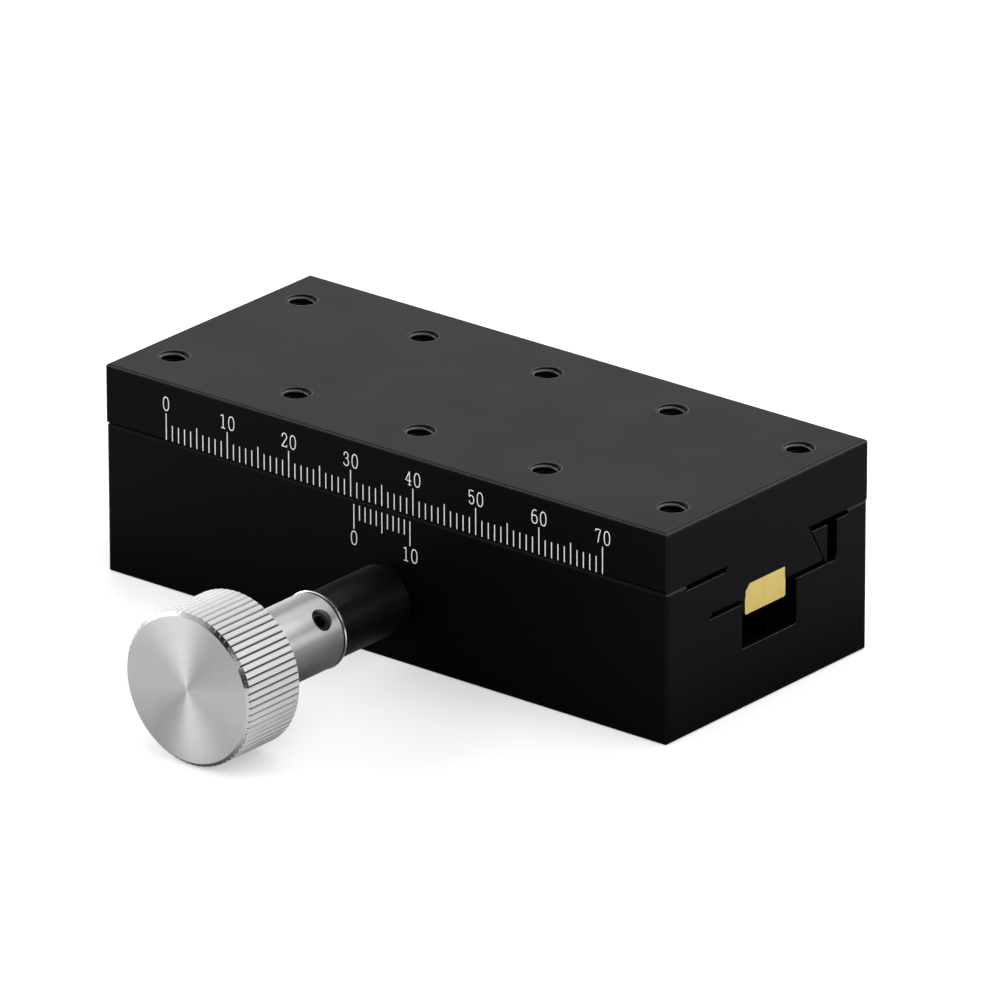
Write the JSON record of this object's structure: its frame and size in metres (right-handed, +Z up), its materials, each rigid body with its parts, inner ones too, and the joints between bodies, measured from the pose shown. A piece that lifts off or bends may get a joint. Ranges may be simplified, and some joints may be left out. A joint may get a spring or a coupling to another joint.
{
  "type": "linear translation stage",
  "caption": "Dovetail linear translation stage: a black carriage with tapped holes slides on a base, driven by a knob through a rack and pinion.",
  "frame": {"origin": "centre of the base's underside", "axes": "+X along the travel, -Y towards the knob and the scale, +Z up out of the carriage's top"},
  "size_m": [0.09, 0.0773, 0.0302],
  "materials": {
    "anodised": "black anodised, satin, milled flat",
    "anodised_tube": "black anodised, turned, semi-gloss",
    "turned_aluminium": "bare turned aluminium, fine lathe rings",
    "brass": "machined brass",
    "bronze": "sintered bronze, matt",
    "steel": "ground steel",
    "dark_steel": "black oxide steel"
  },
  "bodies": {
    "base": {"base": "anodised", "gib": "anodised", "gib_screws": "dark_steel", "lock_screw": "dark_steel", "lock_pad": "brass", "stop_pin": "steel", "bearing_sleeve": "anodised_tube", "front_bush": "bronze", "inner_bush": "bronze", "rear_bush": "bronze", "sleeve_screw": "dark_steel"},
    "carriage": {"carriage": "anodised", "rack": "brass", "rack_screws": "dark_steel"},
    "knob": {"pinion_shaft": "steel", "pinion_gear": "brass", "pinion_pin": "steel", "thrust_washer": "steel", "knob": "turned_aluminium", "knob_screw": "dark_steel"}
  },
  "joints": [
    {"name": "carriage_slide", "type": "slide", "parent": "base", "child": "carriage", "axis": [1, 0, 0], "range_m": [-0.035, 0.035]},
    {"name": "knob_turn", "type": "hinge", "parent": "base", "child": "knob", "pos_m": [0, -0.045, 0.00783], "axis": [0, 1, 0], "range_deg": [-402, 402]}
  ],
  "couplings": [
    {"joint": "knob_turn", "follows": "carriage_slide", "rad_per_m": 200}
  ]
}
